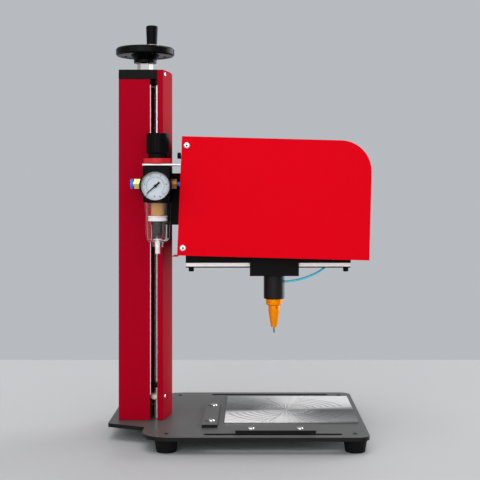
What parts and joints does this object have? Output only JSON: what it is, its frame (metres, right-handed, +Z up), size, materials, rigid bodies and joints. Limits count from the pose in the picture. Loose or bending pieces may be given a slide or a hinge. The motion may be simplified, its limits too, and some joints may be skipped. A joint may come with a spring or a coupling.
{
  "type": "nameplate marking machine",
  "caption": "Benchtop dot-marking machine: base plate with fences, crank-raised column carrying a marking head on two slides, and an air regulator with gauge and filter bowl.",
  "frame": {"origin": "middle of the bounding box in X and Y, on the surface that the rubber feet stand on", "axes": "+Z up, +X from the column towards the front of the marking head, -Y the side with the air regulator and its gauge"},
  "size_m": [0.343, 0.3, 0.549],
  "materials": {
    "red_paint": "smooth bright red powder coat",
    "black_paint": "glossy black paint",
    "rubber": "matt moulded rubber",
    "chrome": "polished hard chrome",
    "steel": "ground steel",
    "brushed_plate": "spun bright finish with concentric lines",
    "black_anodised": "black anodised",
    "brass": "machined",
    "orange_anodised": "orange anodised, glossy",
    "black_plastic": "moulded",
    "red_plastic": "moulded, glossy",
    "blue_plastic": "glossy",
    "cream_rubber": "soft",
    "amber_filter": "sintered, porous",
    "white_plastic": "moulded",
    "clear_plastic": "clear polycarbonate"
  },
  "bodies": {
    "frame": {"base_plate": "black_paint", "foot_rear_near": "rubber", "foot_rear_far": "rubber", "foot_front_near": "rubber", "foot_front_far": "rubber", "column_post": "black_paint", "rear_cover": "red_paint", "front_cover": "red_paint", "column_cap": "black_paint", "guide_rod_near": "chrome", "guide_rod_far": "chrome", "rod_collar_near": "black_anodised", "rod_collar_far": "black_anodised", "rod_bumper_near": "cream_rubber", "rod_bumper_far": "cream_rubber", "lower_bearing": "steel", "upper_bearing": "steel", "end_fence": "black_paint", "side_fence": "black_paint", "work_plate": "brushed_plate"},
    "handwheel": {"handwheel": "black_plastic", "lead_screw": "steel", "lock_nut": "chrome", "handle_stud": "chrome"},
    "crank_handle": {"crank_handle": "black_plastic"},
    "head": {"lift_carriage": "black_anodised", "lift_nut": "brass", "rod_bushing_near": "brass", "rod_bushing_far": "brass", "head_back_plate": "black_paint", "head_cover": "red_paint", "stage_plate": "black_anodised", "cross_rail_rear": "steel", "cross_rail_front": "steel", "stage_motor": "black_anodised", "regulator_bracket": "steel", "regulator_body": "black_plastic", "ring_nut": "red_plastic", "gauge_case": "black_plastic", "gauge_dial": "white_plastic", "gauge_lens": "clear_plastic", "filter_bowl": "clear_plastic", "filter_element": "amber_filter", "filter_core": "white_plastic", "inlet_fitting": "brass", "outlet_fitting": "brass", "outlet_tube": "blue_plastic"},
    "regulator_knob": {"regulator_knob": "black_plastic"},
    "gauge_pointer": {"gauge_pointer": "black_plastic"},
    "inlet_collar": {"inlet_collar": "blue_plastic"},
    "drain_valve": {"drain_valve": "black_plastic"},
    "gantry": {"gantry_beam": "black_anodised", "pin_rail": "steel", "gantry_motor": "black_anodised", "air_hose": "blue_plastic"},
    "pin_carriage": {"carriage_block": "black_anodised", "pin_cylinder": "black_anodised", "pin_nose": "orange_anodised", "return_spring": "steel"},
    "marking_pin": {"marking_pin": "steel"}
  },
  "joints": [
    {"name": "handwheel_turn", "type": "hinge", "parent": "frame", "child": "handwheel", "pos_m": [-0.1296, 0, 0.512], "axis": [0, 0, 1], "range_deg": [-8550, 9000]},
    {"name": "handle_spin", "type": "hinge", "parent": "handwheel", "child": "crank_handle", "pos_m": [-0.1178, -0.027, 0.535], "axis": [0, 0, 1], "continuous": true},
    {"name": "head_lift", "type": "slide", "parent": "frame", "child": "head", "axis": [0, 0, 1], "range_m": [-0.1, 0.095]},
    {"name": "gantry_slide", "type": "slide", "parent": "head", "child": "gantry", "axis": [0, 1, 0], "range_m": [-0.02, 0.08]},
    {"name": "carriage_slide", "type": "slide", "parent": "gantry", "child": "pin_carriage", "axis": [1, 0, 0], "range_m": [-0.07, 0.055], "deforming": ["air_hose"]},
    {"name": "pin_strike", "type": "slide", "parent": "pin_carriage", "child": "marking_pin", "axis": [0, 0, -1], "range_m": [0, 0.005], "stiffness_N_per_m": 150, "springref_m": -0.004, "deforming": ["return_spring"]},
    {"name": "knob_turn", "type": "hinge", "parent": "head", "child": "regulator_knob", "pos_m": [-0.1056, -0.076, 0.385], "axis": [0, 0, 1], "range_deg": [-540, 540]},
    {"name": "pointer_turn", "type": "hinge", "parent": "head", "child": "gauge_pointer", "pos_m": [-0.1045, -0.1208, 0.3323], "axis": [0, 1, 0], "range_deg": [0, 270], "stiffness_Nm_per_rad": 0.0001, "springref_deg": -28.65},
    {"name": "collar_push", "type": "slide", "parent": "head", "child": "inlet_collar", "axis": [1, 0, 0], "range_m": [0, 0.0012], "stiffness_N_per_m": 50, "springref_m": -0.002},
    {"name": "drain_push", "type": "slide", "parent": "head", "child": "drain_valve", "axis": [0, 0, 1], "range_m": [0, 0.0025], "stiffness_N_per_m": 40, "springref_m": -0.002}
  ],
  "couplings": [
    {"joint": "handwheel_turn", "follows": "head_lift", "rad_per_m": -1570.8}
  ]
}
